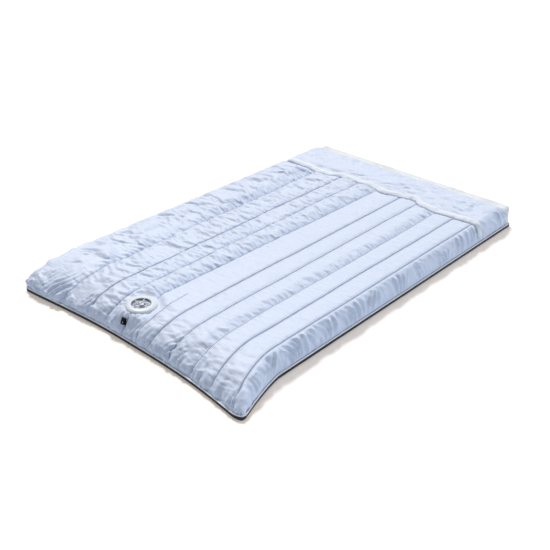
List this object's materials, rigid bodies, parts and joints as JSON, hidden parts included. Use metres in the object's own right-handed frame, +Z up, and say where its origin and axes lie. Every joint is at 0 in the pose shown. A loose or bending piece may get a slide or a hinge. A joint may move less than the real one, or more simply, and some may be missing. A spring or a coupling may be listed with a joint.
{
  "type": "fan cooling bed pad",
  "caption": "Pale blue quilted bed pad over a thick open mesh core, with a round fan inlet and a small power panel at its foot.",
  "frame": {"origin": "middle of the pad's footprint, at the height of its underside", "axes": "+X to the right seen from the foot, +Y from the foot with the fan to the open head end, +Z up"},
  "size_m": [0.9572, 1.4682, 0.0913],
  "materials": {
    "quilt_cloth": "matte",
    "dark_cloth": "matte",
    "trim_cloth": "matte",
    "core_mesh": "matte",
    "white_plastic": "satin",
    "grey_plastic": "matte",
    "black_plastic": "satin",
    "steel": "polished",
    "copper_wire": "satin",
    "ferrite": "matte",
    "circuit_board": "satin",
    "lead_jacket": "matte"
  },
  "bodies": {
    "pad": {"quilted_cover": "quilt_cloth", "underside_sheet": "dark_cloth", "hem_piping": "trim_cloth", "head_seam_tape": "trim_cloth", "mesh_core": "core_mesh", "fan_bezel": "white_plastic", "fan_grille": "white_plastic", "fan_housing": "grey_plastic", "fan_stand": "grey_plastic", "motor_board": "circuit_board", "lower_bearing": "steel", "upper_bearing": "steel", "stator_core": "steel", "stator_coil_1": "copper_wire", "stator_coil_2": "copper_wire", "stator_coil_3": "copper_wire", "stator_coil_4": "copper_wire", "bezel_screw_1": "steel", "bezel_screw_2": "steel", "bezel_screw_3": "steel", "bezel_screw_4": "steel", "stand_screw_1": "steel", "stand_screw_2": "steel", "stand_screw_3": "steel", "stand_screw_4": "steel", "power_panel": "black_plastic", "panel_backing": "grey_plastic", "control_board": "circuit_board", "socket_sleeve": "steel", "socket_pin": "steel", "rocker_pin": "steel", "fan_lead": "lead_jacket"},
    "rotor": {"impeller": "grey_plastic", "rotor_yoke": "steel", "rotor_magnet": "ferrite", "motor_shaft": "steel", "shaft_clip": "steel"},
    "rocker": {"switch_rocker": "black_plastic"}
  },
  "joints": [
    {"name": "impeller_spin", "type": "hinge", "parent": "pad", "child": "rotor", "pos_m": [-0.03415, -0.61785, 0.064], "axis": [0, 0, 1], "continuous": true},
    {"name": "rocker_tilt", "type": "hinge", "parent": "pad", "child": "rocker", "pos_m": [-0.03415, -0.68438, 0.05964], "axis": [1, 0, 0], "range_deg": [-18, 0]}
  ]
}
